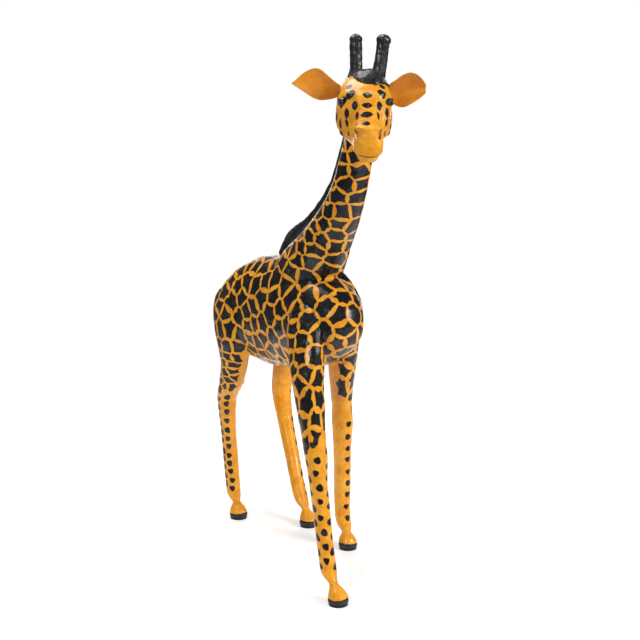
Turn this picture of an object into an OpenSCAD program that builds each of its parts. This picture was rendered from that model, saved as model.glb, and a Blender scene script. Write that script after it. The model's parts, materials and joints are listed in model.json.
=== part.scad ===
// Floor-standing giraffe statue: a carved and doweled softwood core under glued leather hides.
// The giraffe walks towards -Y, its left side is +X, and Z = 0 is the floor under its soles.

/* [Body] */
// Girth of the torso, as a share of its drawn girth
torso_girth = 1; // [0.94:0.01:1.04]
// Girth of the neck, as a share of its drawn girth
neck_girth = 1; // [0.92:0.01:1.08]
// Girth of the four legs, as a share of their drawn girth
leg_girth = 1; // [0.94:0.01:1.06]
// Turn of the head towards the giraffe's right, in degrees
head_turn = 26.5; // [18:0.5:34]

/* [Leather] */
// Thickness of the glued hides
hide_t = 2; // [1.4:0.1:2.4]
// Thickness of the leather of an ear
ear_t = 2; // [1.4:0.1:2.6]

/* [Joints] */
// Diameter of the four hip and shoulder dowels
leg_dowel_d = 22; // [16:1:26]
// Diameter of the dowel between torso and neck
neck_dowel_d = 30; // [20:1:34]
// Diameter of the dowel between neck and head
head_dowel_d = 20; // [14:1:24]
// Diameter of the dowel in the core of a horn
horn_dowel_d = 14; // [10:1:18]
// Diameter of the pin that holds a hoof
hoof_pin_d = 6; // [4:1:8]

/* [Details] */
// Diameter of a glass eye
eye_d = 19; // [16:1:21]
// Length of a horn above its seat in the head
horn_h = 98; // [84:1:100]
// Outer diameter of the leather wrap of a horn
horn_d = 26; // [22:1:28]
// Height of the hoof block, sole included
hoof_h = 15; // [12:1:16]
// Height of the mane above the crest of the neck, near its thick lower end
mane_h = 42; // [26:1:46]

/* [Hidden] */
$fn = 48;

// Film of glue between a core and its hide
glue_gap = 0.3;
// Clearance between two pieces that butt together
butt_gap = 0.3;
// Clearance round a dowel in its bore
dowel_fit = 0.4;
// Growth of a form from the outside of its hide to its wooden core
core_skin = -(hide_t + glue_gap);
// Shift that puts the middle of the statue's footprint on the origin
stand_shift = [18, 31, 0];
// Height of the rubber sole under a hoof
sole_t = 3;
hoof_r = 24;
// Interpolated rings between two key sections
ring_steps = 2;
torso_sides = 22;
neck_sides = 20;
leg_sides = 12;
head_sides = 20;

// Key sections of the torso: y, height of the middle, half height, half width
torso_sections = [
    [-215, 596, 6, 6], [-203, 595, 42, 36], [-165, 594, 80, 64], [-105, 591, 107, 82],
    [-20, 584, 130, 91], [60, 579, 136, 95], [140, 575, 142, 101], [215, 569, 130, 110],
    [272, 563, 107, 110], [314, 558, 72, 84], [336, 555, 36, 44], [343, 554, 6, 8]
];
// Key sections of the neck: y, z, half depth, half width
neck_sections = [
    [52, 634, 82, 70], [-10, 683, 85, 71], [-70, 736, 71, 62], [-117, 786, 58, 53],
    [-163, 838, 50, 44], [-198, 888, 45, 38], [-222, 940, 42, 34], [-241, 988, 39, 31],
    [-255, 1033, 38, 30], [-264, 1072, 36, 29]
];
// Key sections of a leg: z, x, y, half width, half depth, from the shoulder or hip down
front_right_sections = [
    [662, -42, -98, 8, 14], [646, -46, -100, 22, 44], [600, -62, -112, 31, 60],
    [540, -74, -138, 35, 60],
    [480, -84, -165, 35, 46], [420, -87, -183, 32, 37], [360, -89, -200, 28, 30],
    [305, -90, -217, 25, 28], [250, -92, -230, 20.5, 23], [170, -94, -252, 19, 21],
    [95, -96, -275, 18, 20], [60, -97, -287, 18, 20], [47, -97, -300, 13, 15],
    [38, -97, -312, 10, 12], [27, -97, -324, 19, 21], [15, -97, -330, 23, 24]
];
front_left_sections = [
    [694, 44, -92, 8, 14], [678, 47, -92, 17, 32], [640, 55, -94, 27, 52], [590, 59, -90, 31, 58],
    [535, 60, -80, 30, 52], [480, 62, -70, 30, 42], [420, 65, -62, 27, 32],
    [360, 67, -60, 24, 26], [325, 69, -60, 25, 28], [260, 72, -54, 21, 23],
    [170, 75, -50, 20, 22], [95, 78, -46, 18.5, 20], [60, 80, -51, 18, 20],
    [47, 81, -58, 13, 15], [38, 81, -62, 10, 12], [27, 81, -66, 19, 21], [15, 81, -68, 23, 24]
];
hind_right_sections = [
    [658, -48, 226, 10, 16], [642, -55, 228, 27, 44], [595, -72, 238, 44, 78], [535, -79, 242, 42, 78],
    [480, -81, 238, 38, 62], [420, -77, 243, 32, 44], [360, -75, 272, 29, 37],
    [318, -74, 300, 25, 31], [250, -73, 298, 20.5, 24], [180, -71, 291, 19.5, 21.5],
    [100, -69, 284, 19, 20.5], [60, -68, 278, 18, 20], [47, -68, 268, 13, 15],
    [38, -68, 260, 10, 12], [27, -68, 254, 19, 21], [15, -68, 250, 23, 24]
];
hind_left_sections = [
    [662, 48, 220, 10, 18], [646, 55, 220, 28, 48], [595, 70, 226, 40, 72], [535, 75, 226, 38, 70],
    [480, 76, 232, 34, 54], [420, 76, 252, 29, 40], [360, 76, 270, 26, 33],
    [320, 76, 278, 25, 30], [260, 74, 257, 21, 24], [180, 70, 214, 19.5, 22],
    [100, 67, 172, 18.5, 20.5], [60, 66, 148, 18, 20], [47, 66, 132, 13, 15],
    [38, 66, 122, 10, 12], [27, 66, 114, 19, 21], [15, 66, 109, 23, 24]
];
// Ends of the dowel in each leg: in the torso, then in the leg
front_right_dowel_ends = [[-58, -105, 602], [-86, -178, 430]];
front_left_dowel_ends = [[56, -88, 602], [67, -66, 430]];
hind_right_dowel_ends = [[-62, 228, 602], [-78, 240, 430]];
hind_left_dowel_ends = [[62, 216, 602], [76, 246, 430]];
neck_dowel_ends = [[0, 20, 668], [0, -118, 806]];
head_dowel_ends = [[0, -243, 990], [0, -270, 1094]];

// Middle of the skull, between the eyes
head_at = [-5, -268, 1089];
// Key sections of the head from the nose back: y, z, half width, half height, tilt, jaw width
head_sections = [
    [-160, -86, 6, 6, 8, 0], [-155, -86, 21, 22, 10, 0], [-140, -83, 28, 32, 18, 0],
    [-120, -73, 30, 36, 28, 0], [-96, -58, 37, 42, 36, 0.1], [-70, -40, 52, 51, 40, 0.3],
    [-42, -20, 58, 60, 36, 0.3], [-14, -2, 57, 58, 28, 0.15], [14, 10, 48, 49, 18, 0.05],
    [34, 14, 31, 33, 12, 0], [42, 16, 6, 6, 10, 0]
];
// Squareness of the head's sections, where 2 is an ellipse
head_square = 2.5;
// Each horn: seat in the head and direction, in the head's frame
right_horn_seat = [-14, 2, 40];
left_horn_seat = [32, 4, 40];
right_horn_lean = [0, -1, 0];
left_horn_lean = [0, 7, 0];
horn_knob_r = horn_d/2 + 2;
// Dome between the horns: middle and half sizes in the head's frame
cap_at = [9, -20, 25];
cap_r = [42, 50, 43];
// Middles of the eyeballs in the head's frame
right_eye_at = [-46, -64, -1];
left_eye_at = [46, -64, -1];
eyelid_r = eye_d/2 + 3;
// Direction in which an eye looks out, from straight ahead, and the rim's place along it
eyelid_turn = 50;
eyelid_out = 6;
// Ear leaf: distance out from the skull's middle, lower margin, upper margin, depth of the fold
right_ear_leaf = [
    [46, 12, 34, 3], [59, 6, 42, 6], [74, 3, 55, 9], [91, 2, 68, 10], [108, 8, 69, 9],
    [128, 21, 58, 7], [144, 31, 44, 4], [153, 36, 38, 2]
];
left_ear_leaf = [
    [44, 4, 30, 3], [57, -3, 38, 10], [70, -10, 47, 16], [84, -13, 57, 20], [98, -7, 61, 20],
    [112, 1, 57, 16], [124, 9, 47, 11], [133, 18, 34, 7]
];
// The ears stand behind the eyes and reach forward
ear_root_y = 6;
ear_reach_y = -14;
ear_strips = 6;

// Mane over each key section of the neck: half width, share of the full height
mane_sections = [
    [12, 0.86], [15, 1], [14, 0.8], [12, 0.7], [10, 0.66], [9, 0.66], [8, 0.66], [7, 0.6],
    [6, 0.5], [3, 0.3]
];
mane_depth = 12;

// Middle line of the tail from the rump down: x, y, z, radius; a wire runs along it
tail_sections = [
    [0, 330, 612, 9], [0, 344, 594, 8], [0, 349, 560, 7], [0, 348, 505, 6.5], [-1, 346, 450, 6]
];
tuft_sections = [
    [-1, 346, 450, 6], [-2, 346, 430, 9], [-3, 346, 398, 10], [-5, 345, 366, 7],
    [-7, 344, 342, 4], [-8, 344, 334, 1.5]
];
tail_wire_r = 2;
tail_wire_in = 24;

orange = [0.85, 0.56, 0.16];
ear_orange = [0.78, 0.47, 0.1];
black = [0.13, 0.13, 0.14];
wood = [0.82, 0.68, 0.48];
birch = [0.9, 0.8, 0.62];

// ---- Curves and sections -------------------------------------------------------------------

function blend_at(a, b, c, d, t) =
    0.5*((2*b) + (c - a)*t + (2*a - 5*b + 4*c - d)*t*t + (3*b - a - 3*c + d)*t*t*t);

function smooth(keys, steps) = let (last = len(keys) - 1) concat(
    [for (i = [0:last - 1], k = [0:steps - 1])
        blend_at(keys[max(i - 1, 0)], keys[i], keys[i + 1], keys[min(i + 2, last)], k/steps)],
    [keys[last]]
);

function unit(v) = v/norm(v);

function root_of(value, square) = sign(value)*pow(abs(value), 2/square);

// Closed section: half width w along right, half height h along up, wider below by low
function section(centre, right, up, w, h, sides, square = 2, low = 0) = [
    for (i = [0:sides - 1])
        let (turn = 360*(i + 0.5)/sides, wide = w*(1 + low*max(0, -sin(turn))))
        centre + wide*root_of(cos(turn), square)*right + h*root_of(sin(turn), square)*up
];

// Growth of a section by g, fading to nothing where the form closes to a point
function grown(size, g) = size + g*min(1, size/30);

// Solid through a row of sections, closed flat at both ends
module loft(rows) {
    sides = len(rows[0]);
    last = len(rows) - 1;
    polyhedron(
        points = [for (row = rows) each row],
        faces = concat(
            [[for (i = [0:sides - 1]) i]],
            [[for (i = [sides - 1:-1:0]) last*sides + i]],
            [for (j = [0:last - 1], i = [0:sides - 1])
                let (next = (i + 1)%sides)
                each [
                    [j*sides + i, (j + 1)*sides + next, j*sides + next],
                    [j*sides + i, (j + 1)*sides + i, (j + 1)*sides + next]
                ]]
        )
    );
}

module on_floor() {
    translate(stand_shift)
        children();
}

module on_head() {
    translate(head_at)
        rotate([0, 0, -head_turn])
            children();
}

// A straight round bar between two points
module bar(ends, d) {
    along = ends[1] - ends[0];
    translate(ends[0])
        rotate([0, acos(along[2]/norm(along)), atan2(along[1], along[0])])
            cylinder(d = d, h = norm(along));
}

// ---- Forms, each grown by g from the outside of its hide ------------------------------------

module torso_form(g) {
    keys = smooth(torso_sections, ring_steps);
    middle = (torso_sections[0][0] + torso_sections[len(torso_sections) - 1][0])/2;
    half = middle - torso_sections[0][0];
    loft([for (s = keys)
        section([0, s[0] + g*(s[0] - middle)/half, s[1]], [-1, 0, 0], [0, 0, 1],
            grown(s[3]*torso_girth, g), grown(s[2]*torso_girth, g), torso_sides, 2.15)]);
}

module neck_form(g) {
    keys = smooth(neck_sections, ring_steps);
    last = len(keys) - 1;
    loft([for (i = [0:last])
        let (
            s = keys[i],
            way = unit([0, keys[min(i + 1, last)][0] - keys[max(i - 1, 0)][0],
                keys[min(i + 1, last)][1] - keys[max(i - 1, 0)][1]])
        )
        section([0, s[0], s[1]], [-1, 0, 0], [0, -way[2], way[1]],
            s[3]*neck_girth + g, s[2]*neck_girth + g, neck_sides, 2)]);
}

module leg_form(sections, g) {
    keys = smooth(sections, ring_steps);
    loft([for (s = keys)
        section([s[1], s[2], s[0]], [-1, 0, 0], [0, 1, 0],
            s[3]*leg_girth + g, s[4]*leg_girth + g, leg_sides, 2.1)]);
}

module head_form(g) {
    keys = smooth(head_sections, ring_steps);
    middle = (head_sections[0][0] + head_sections[len(head_sections) - 1][0])/2;
    half = middle - head_sections[0][0];
    on_head()
        loft([for (s = keys)
            section([0, s[0] + g*(s[0] - middle)/half, s[1]], [-1, 0, 0],
                [0, -sin(s[4]), cos(s[4])], grown(s[2], g), grown(s[3], g), head_sides,
                head_square, s[5])]);
}

// ---- Wooden core and its dowels -------------------------------------------------------------

module torso_core() {
    color(wood)
        on_floor()
            difference() {
                torso_form(core_skin);
                bar(front_right_dowel_ends, leg_dowel_d + dowel_fit);
                bar(front_left_dowel_ends, leg_dowel_d + dowel_fit);
                bar(hind_right_dowel_ends, leg_dowel_d + dowel_fit);
                bar(hind_left_dowel_ends, leg_dowel_d + dowel_fit);
                bar(neck_dowel_ends, neck_dowel_d + dowel_fit);
                tail_bore();
            }
}

module neck_core() {
    color(wood)
        on_floor()
            difference() {
                resize([0, 0, 0])
                    difference() {
                        neck_form(core_skin);
                        torso_form(core_skin + butt_gap);
                        head_form(core_skin + butt_gap);
                    }
                bar(neck_dowel_ends, neck_dowel_d + dowel_fit);
                bar(head_dowel_ends, head_dowel_d + dowel_fit);
            }
}

module head_core() {
    color(wood)
        on_floor()
            difference() {
                head_form(core_skin);
                bar(head_dowel_ends, head_dowel_d + dowel_fit);
                on_head() {
                    horn_bar(right_horn_seat, right_horn_lean, horn_dowel_d + dowel_fit);
                    horn_bar(left_horn_seat, left_horn_lean, horn_dowel_d + dowel_fit);
                    eye_ball(right_eye_at, eye_d + dowel_fit);
                    eye_ball(left_eye_at, eye_d + dowel_fit);
                }
            }
}

module leg_core(sections, dowel_ends) {
    color(wood)
        on_floor()
            difference() {
                resize([0, 0, 0])
                    difference() {
                        leg_form(sections, core_skin);
                        torso_form(core_skin + butt_gap);
                        below_hoof_top();
                    }
                bar(dowel_ends, leg_dowel_d + dowel_fit);
                hoof_bar(sections, hoof_pin_d + dowel_fit);
            }
}

module front_right_leg_core() { leg_core(front_right_sections, front_right_dowel_ends); }
module front_left_leg_core() { leg_core(front_left_sections, front_left_dowel_ends); }
module hind_right_leg_core() { leg_core(hind_right_sections, hind_right_dowel_ends); }
module hind_left_leg_core() { leg_core(hind_left_sections, hind_left_dowel_ends); }

module dowel(ends, d) {
    color(birch)
        on_floor()
            bar(ends, d);
}

module neck_dowel() { dowel(neck_dowel_ends, neck_dowel_d); }
module head_dowel() { dowel(head_dowel_ends, head_dowel_d); }
module front_right_leg_dowel() { dowel(front_right_dowel_ends, leg_dowel_d); }
module front_left_leg_dowel() { dowel(front_left_dowel_ends, leg_dowel_d); }
module hind_right_leg_dowel() { dowel(hind_right_dowel_ends, leg_dowel_d); }
module hind_left_leg_dowel() { dowel(hind_left_dowel_ends, leg_dowel_d); }

// ---- Leather hides --------------------------------------------------------------------------

module torso_hide() {
    opening = core_skin + butt_gap;
    color(orange)
        on_floor()
            resize([0, 0, 0])
                difference() {
                    torso_form(0);
                    torso_form(core_skin + glue_gap);
                    neck_form(opening);
                    leg_form(front_right_sections, opening);
                    leg_form(front_left_sections, opening);
                    leg_form(hind_right_sections, opening);
                    leg_form(hind_left_sections, opening);
                    tail_bore();
                }
}

module neck_hide() {
    color(orange)
        on_floor()
            resize([0, 0, 0])
                difference() {
                    neck_form(0);
                    neck_form(core_skin + glue_gap);
                    torso_form(butt_gap);
                    head_form(butt_gap);
                }
}

module head_hide() {
    color(orange)
        on_floor()
            difference() {
                resize([0, 0, 0])
                    difference() {
                        head_form(0);
                        head_form(core_skin + glue_gap);
                        neck_form(core_skin + butt_gap);
                    }
                on_head() {
                    horn_bar(right_horn_seat, right_horn_lean, horn_dowel_d + dowel_fit);
                    horn_bar(left_horn_seat, left_horn_lean, horn_dowel_d + dowel_fit);
                    eye_ball(right_eye_at, eye_d + dowel_fit);
                    eye_ball(left_eye_at, eye_d + dowel_fit);
                }
            }
}

module leg_hide(sections) {
    color(orange)
        on_floor()
            resize([0, 0, 0])
                difference() {
                    leg_form(sections, 0);
                    leg_form(sections, core_skin + glue_gap);
                    torso_form(butt_gap);
                    neck_form(butt_gap);
                    below_hoof_top();
                }
}

module front_right_leg_hide() { leg_hide(front_right_sections); }
module front_left_leg_hide() { leg_hide(front_left_sections); }
module hind_right_leg_hide() { leg_hide(hind_right_sections); }
module hind_left_leg_hide() { leg_hide(hind_left_sections); }

// ---- Hooves ---------------------------------------------------------------------------------

function foot_of(sections) =
    let (s = sections[len(sections) - 1]) [s[1], s[2], 0];

module below_hoof_top() {
    translate([-500, -500, -1])
        cube([1000, 1000, hoof_h + butt_gap + 1]);
}

module hoof_bar(sections, d) {
    translate(foot_of(sections) + [0, 0, sole_t + 4])
        cylinder(d = d, h = hoof_h + 4);
}

module hoof(sections) {
    color(black)
        on_floor()
            difference() {
                translate(foot_of(sections))
                    rotate_extrude()
                        polygon([
                            [0, sole_t], [hoof_r - 2, sole_t], [hoof_r - 0.5, sole_t + 3],
                            [hoof_r, sole_t + 6], [hoof_r - 0.4, hoof_h - 1.5],
                            [hoof_r - 1.5, hoof_h], [0, hoof_h]
                        ]);
                hoof_bar(sections, hoof_pin_d + dowel_fit);
            }
}

module sole(sections) {
    color(black)
        on_floor()
            translate(foot_of(sections))
                cylinder(r = hoof_r - 2.5, h = sole_t);
}

module front_right_hoof() { hoof(front_right_sections); }
module front_left_hoof() { hoof(front_left_sections); }
module hind_right_hoof() { hoof(hind_right_sections); }
module hind_left_hoof() { hoof(hind_left_sections); }
module front_right_sole() { sole(front_right_sections); }
module front_left_sole() { sole(front_left_sections); }
module hind_right_sole() { sole(hind_right_sections); }
module hind_left_sole() { sole(hind_left_sections); }

module hoof_pins() {
    color(birch)
        on_floor()
            for (sections = [front_right_sections, front_left_sections, hind_right_sections,
                    hind_left_sections])
                hoof_bar(sections, hoof_pin_d);
}

// ---- Horns and crown ------------------------------------------------------------------------

module horn_bar(seat, lean, d) {
    translate(seat)
        rotate(lean)
            translate([0, 0, -25])
                cylinder(d = d, h = horn_h + 20);
}

module horn_dowel(seat, lean) {
    color(birch)
        on_floor()
            on_head()
                horn_bar(seat, lean, horn_dowel_d);
}

// Outside of the leather rolled round a horn's dowel, with the knob at its top
module horn_outside(seat, lean, g) {
    translate(seat)
        rotate(lean)
            rotate_extrude($fn = 28)
                polygon([
                    [0, -14], [horn_d/2 + 3 + g, -14], [horn_d/2 + 2 + g, 10],
                    [horn_d/2 + g, 26], [horn_d/2 - 0.5 + g, horn_h*0.5],
                    [horn_d/2 + g, horn_h*0.84], [horn_knob_r + g, horn_h*0.9],
                    [horn_knob_r + g, horn_h*0.95], [horn_knob_r - 3 + g, horn_h*0.99],
                    [horn_knob_r - 8, horn_h + g], [0, horn_h + g]
                ]);
}

module horn_post(seat, lean) {
    horn_outside(seat, lean, butt_gap);
}

module horn_wrap(seat, lean) {
    color(black)
        on_floor()
            difference() {
                resize([0, 0, 0])
                    difference() {
                        on_head()
                            horn_outside(seat, lean, 0);
                        head_form(butt_gap);
                    }
                on_head()
                    horn_bar(seat, lean, horn_dowel_d + dowel_fit);
            }
}

module right_horn_dowel() { horn_dowel(right_horn_seat, right_horn_lean); }
module left_horn_dowel() { horn_dowel(left_horn_seat, left_horn_lean); }
module right_horn_wrap() { horn_wrap(right_horn_seat, right_horn_lean); }
module left_horn_wrap() { horn_wrap(left_horn_seat, left_horn_lean); }

// Padded leather dome between the horns, with its foot on the skull
module crown_cap() {
    color(black)
        on_floor()
            resize([0, 0, 0])
                difference() {
                    on_head()
                        translate(cap_at)
                            scale(cap_r)
                                sphere(r = 1, $fn = 28);
                    head_form(butt_gap);
                    on_head() {
                        horn_post(right_horn_seat, right_horn_lean);
                        horn_post(left_horn_seat, left_horn_lean);
                    }
                }
}

// ---- Ears and eyes --------------------------------------------------------------------------

// A point of the leaf: across runs from -1 at the lower margin to 1 at the upper one
function leaf_point(side, s, across, out, t) =
    let (
        middle = (s[1] + s[2])/2,
        half = (s[2] - s[1])/2,
        reach = ear_root_y + ear_reach_y*(s[0] - 45)/110
    )
    [side*s[0], reach + s[3]*(0.35 - across*across) + out*t/2, middle + half*across];

// Closed ring round one section of the leaf: up its front face, down its back face
function leaf_section(side, s) = concat(
    [for (k = [0:ear_strips]) leaf_point(side, s, 2*k/ear_strips - 1, -1, ear_t)],
    [for (k = [ear_strips:-1:0]) leaf_point(side, s, 2*k/ear_strips - 1, 1, ear_t)]
);

module ear(side, leaf) {
    rows = [for (s = smooth(leaf, ring_steps)) leaf_section(side, s)];
    color(ear_orange)
        on_floor()
            resize([0, 0, 0])
                difference() {
                    on_head()
                        loft(side < 0 ? rows : [for (row = rows) reversed(row)]);
                    head_form(butt_gap);
                }
}

function reversed(row) = [for (i = [len(row) - 1:-1:0]) row[i]];

module right_ear() { ear(-1, right_ear_leaf); }
module left_ear() { ear(1, left_ear_leaf); }

module eye_ball(at, d) {
    translate(at)
        sphere(d = d);
}

module eye(at) {
    color(black)
        on_floor()
            on_head()
                eye_ball(at, eye_d);
}

// Leather rim round the eye, lying on the hide
module eyelid(side, at) {
    color(black)
        on_floor()
            resize([0, 0, 0])
                difference() {
                    on_head()
                        translate(at + eyelid_out*[side*sin(eyelid_turn), -cos(eyelid_turn), 0])
                            rotate([90, 0, side*eyelid_turn])
                                rotate_extrude($fn = 28)
                                    translate([eyelid_r - 2, 0])
                                        square([4, 8], center = true);
                    head_form(butt_gap);
                    on_head()
                        eye_ball(at, eye_d + dowel_fit);
                }
}

module right_eye() { eye(right_eye_at); }
module left_eye() { eye(left_eye_at); }
module right_eyelid() { eyelid(-1, right_eye_at); }
module left_eyelid() { eyelid(1, left_eye_at); }

// ---- Mane and tail --------------------------------------------------------------------------

module mane_form() {
    keys = smooth(neck_sections, ring_steps);
    sizes = smooth(mane_sections, ring_steps);
    last = len(keys) - 1;
    loft([for (i = [0:last])
        let (
            s = keys[i],
            rise = sizes[i][1]*mane_h,
            way = unit([0, keys[min(i + 1, last)][0] - keys[max(i - 1, 0)][0],
                keys[min(i + 1, last)][1] - keys[max(i - 1, 0)][1]]),
            out = [0, way[2], -way[1]],
            crest = [0, s[0], s[1]] + out*s[2]*neck_girth
        )
        section(crest + out*(rise - mane_depth)/2, [1, 0, 0], out,
            sizes[i][0], (rise + mane_depth)/2, 14, 2.4)]);
}

module mane() {
    color(black)
        on_floor()
            resize([0, 0, 0])
                difference() {
                    mane_form();
                    neck_form(butt_gap);
                    torso_form(butt_gap);
                    head_form(butt_gap);
                }
}

module tail_bore() {
    root = tail_sections[0];
    bar([[0, root[1] - tail_wire_in - 2, root[2]], [0, root[1] + 20, root[2]]], 2*tail_wire_r + 0.4);
}

function tail_rows(sections, r) =
    let (keys = smooth(sections, ring_steps), last = len(keys) - 1)
    [for (i = [0:last])
        let (
            s = keys[i],
            before = keys[max(i - 1, 0)],
            after = keys[min(i + 1, last)],
            way = unit([after[0] - before[0], after[1] - before[1], after[2] - before[2]]),
            across = unit(cross(way, [1, 0, 0]))
        )
        section([s[0], s[1], s[2]], [1, 0, 0], across, r == 0 ? s[3] : r, r == 0 ? s[3] : r, 12)];

module tail_wire_form(r) {
    root = tail_sections[0];
    path = concat([[root[0], root[1] - tail_wire_in, root[2], r]], tail_sections);
    loft(tail_rows(path, r));
}

module tail_wire() {
    color("silver")
        on_floor()
            tail_wire_form(tail_wire_r);
}

module tail_wrap() {
    color(orange)
        on_floor()
            resize([0, 0, 0])
                difference() {
                    loft(tail_rows(tail_sections, 0));
                    translate([0, 0, -0.2])
                        tail_wire_form(tail_wire_r + 0.2);
                    torso_form(butt_gap);
                }
}

module tail_tuft() {
    color(black)
        on_floor()
            translate([0, 0, -butt_gap])
                loft(tail_rows(tuft_sections, 0));
}

// ---- The statue -----------------------------------------------------------------------------

torso_core();
neck_core();
head_core();
front_right_leg_core();
front_left_leg_core();
hind_right_leg_core();
hind_left_leg_core();
neck_dowel();
head_dowel();
front_right_leg_dowel();
front_left_leg_dowel();
hind_right_leg_dowel();
hind_left_leg_dowel();
torso_hide();
neck_hide();
head_hide();
front_right_leg_hide();
front_left_leg_hide();
hind_right_leg_hide();
hind_left_leg_hide();
front_right_hoof();
front_left_hoof();
hind_right_hoof();
hind_left_hoof();
front_right_sole();
front_left_sole();
hind_right_sole();
hind_left_sole();
hoof_pins();
right_horn_dowel();
left_horn_dowel();
right_horn_wrap();
left_horn_wrap();
crown_cap();
right_ear();
left_ear();
right_eye();
left_eye();
right_eyelid();
left_eyelid();
mane();
tail_wire();
tail_wrap();
tail_tuft();
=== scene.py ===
"""Looks of the giraffe statue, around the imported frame: varnished, patterned leather over a carved core."""
import json
import math

import bpy
import numpy as np
from mathutils import Matrix, Vector
from mathutils.bvhtree import BVHTree
from mathutils.kdtree import KDTree


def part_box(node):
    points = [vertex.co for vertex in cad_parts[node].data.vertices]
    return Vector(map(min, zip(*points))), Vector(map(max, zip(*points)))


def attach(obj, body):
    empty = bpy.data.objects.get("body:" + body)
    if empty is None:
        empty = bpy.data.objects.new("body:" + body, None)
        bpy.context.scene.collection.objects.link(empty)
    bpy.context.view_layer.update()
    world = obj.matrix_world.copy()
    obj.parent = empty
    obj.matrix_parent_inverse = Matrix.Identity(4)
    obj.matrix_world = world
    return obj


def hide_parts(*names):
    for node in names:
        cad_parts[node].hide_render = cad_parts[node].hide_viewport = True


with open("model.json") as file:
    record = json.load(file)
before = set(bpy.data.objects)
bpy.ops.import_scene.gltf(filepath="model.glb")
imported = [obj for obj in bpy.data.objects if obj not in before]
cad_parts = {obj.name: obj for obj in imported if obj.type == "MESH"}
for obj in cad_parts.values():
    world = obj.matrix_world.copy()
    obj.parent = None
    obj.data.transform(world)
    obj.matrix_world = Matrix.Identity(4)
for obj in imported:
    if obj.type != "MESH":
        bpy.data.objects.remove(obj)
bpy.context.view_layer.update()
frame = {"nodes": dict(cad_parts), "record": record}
NODES = frame["nodes"]
MM = 0.001
BODY = "root"
LEGS = ("front_right", "front_left", "hind_right", "hind_left")


# ---- Numbers from a lattice, the same on every run --------------------------------------------

# Large odd numbers that keep the values of neighbouring cells unlike each other
CELL_FACTORS = np.array([374761393, 668265263, 2147483647])
SEED_FACTOR = 974634777
SCRAMBLE = 1274126177


def lattice(cells, seed):
    """A value from 0 to 1 for each whole-number cell."""
    h = (cells.astype(np.int64) @ CELL_FACTORS + seed * SEED_FACTOR) & 0xFFFFFFFF
    h = ((h ^ (h >> 13)) * SCRAMBLE) & 0xFFFFFFFF
    return ((h ^ (h >> 16)) & 0xFFFFFF) / float(0xFFFFFF)


def turned(angle, axis):
    return np.array(Matrix.Rotation(math.radians(angle), 3, axis))


# The lattice lies askew, so that its rows never show along an upright shape
ASKEW = turned(37, "X") @ turned(52, "Y") @ turned(23, "Z")


def noise(points, size, seed=0):
    """Smooth noise from -1 to 1 with features of that size."""
    q = points @ ASKEW / size
    low = np.floor(q)
    t = q - low
    t = t * t * (3 - 2 * t)
    total = np.zeros(len(q))
    for corner in range(8):
        step = np.array([corner & 1, (corner >> 1) & 1, corner >> 2])
        weight = np.prod(np.where(step == 1, t, 1 - t), axis=1)
        total += weight * lattice(low + step, seed)
    return 2 * total - 1


def smoothstep(low, high, value):
    t = np.clip((value - low) / (high - low), 0, 1)
    return t * t * (3 - 2 * t)


def bump_at(distance, width):
    """1 at no distance, falling to nothing over a few widths."""
    return np.exp(-(distance / width) ** 2)


# ---- Meshes as arrays --------------------------------------------------------------------------

def mesh_arrays(obj):
    """Vertices and triangles of an object's mesh."""
    mesh = obj.data
    mesh.calc_loop_triangles()
    verts = np.zeros(len(mesh.vertices) * 3)
    mesh.vertices.foreach_get("co", verts)
    tris = np.zeros(len(mesh.loop_triangles) * 3, np.int32)
    mesh.loop_triangles.foreach_get("vertices", tris)
    return verts.reshape(-1, 3), tris.reshape(-1, 3)


def joined(names):
    """The meshes of several CAD nodes as one list of vertices and triangles."""
    verts, tris, start = [], [], 0
    for name in names:
        v, t = mesh_arrays(NODES[name])
        verts.append(v)
        tris.append(t + start)
        start += len(v)
    return np.concatenate(verts), np.concatenate(tris)


def new_object(name, verts, faces, smooth=True):
    mesh = bpy.data.meshes.new(name)
    mesh.from_pydata([tuple(v) for v in verts], [], [tuple(int(i) for i in f) for f in faces])
    mesh.update()
    if smooth:
        mesh.shade_smooth()
    obj = bpy.data.objects.new(name, mesh)
    bpy.context.scene.collection.objects.link(obj)
    return obj


def baked(obj):
    """The object's vertices and faces with its modifiers applied; the object itself is removed."""
    graph = bpy.context.evaluated_depsgraph_get()
    mesh = obj.evaluated_get(graph).to_mesh()
    verts = np.zeros(len(mesh.vertices) * 3)
    mesh.vertices.foreach_get("co", verts)
    faces = [tuple(p.vertices) for p in mesh.polygons]
    bpy.data.objects.remove(obj)
    return verts.reshape(-1, 3), faces


def voxelised(verts, tris, voxel):
    """One even quad mesh round everything that the triangles enclose."""
    obj = new_object("voxels", verts, tris, smooth=False)
    remesh = obj.modifiers.new("remesh", "REMESH")
    remesh.mode = "VOXEL"
    remesh.voxel_size = voxel
    return baked(obj)


def edge_list(faces):
    """Each edge of the faces once, as two vertex numbers."""
    pairs = np.array([(f[k], f[(k + 1) % len(f)]) for f in faces for k in range(len(f))])
    pairs.sort(axis=1)
    return np.unique(pairs, axis=0)


def spread(values, edges, rounds, keep=0.5):
    """Values averaged with their neighbours along the edges; rounds may differ from vertex to vertex."""
    values = np.array(values, float)
    flat = values.reshape(len(values), -1)
    degree = np.maximum(np.bincount(edges.ravel(), minlength=len(flat)), 1)[:, None]
    a, b = edges[:, 0], edges[:, 1]
    each = np.broadcast_to(rounds, len(flat))
    for turn in range(int(np.max(rounds))):
        total = np.empty_like(flat)
        for axis in range(flat.shape[1]):
            to_a, to_b = flat[b, axis], flat[a, axis]
            total[:, axis] = np.bincount(a, to_a, len(flat)) + np.bincount(b, to_b, len(flat))
        share = np.where(each > turn, 1 - keep, 0.0)[:, None]
        flat = flat * (1 - share) + total / degree * share
    return flat.reshape(values.shape)


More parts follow.
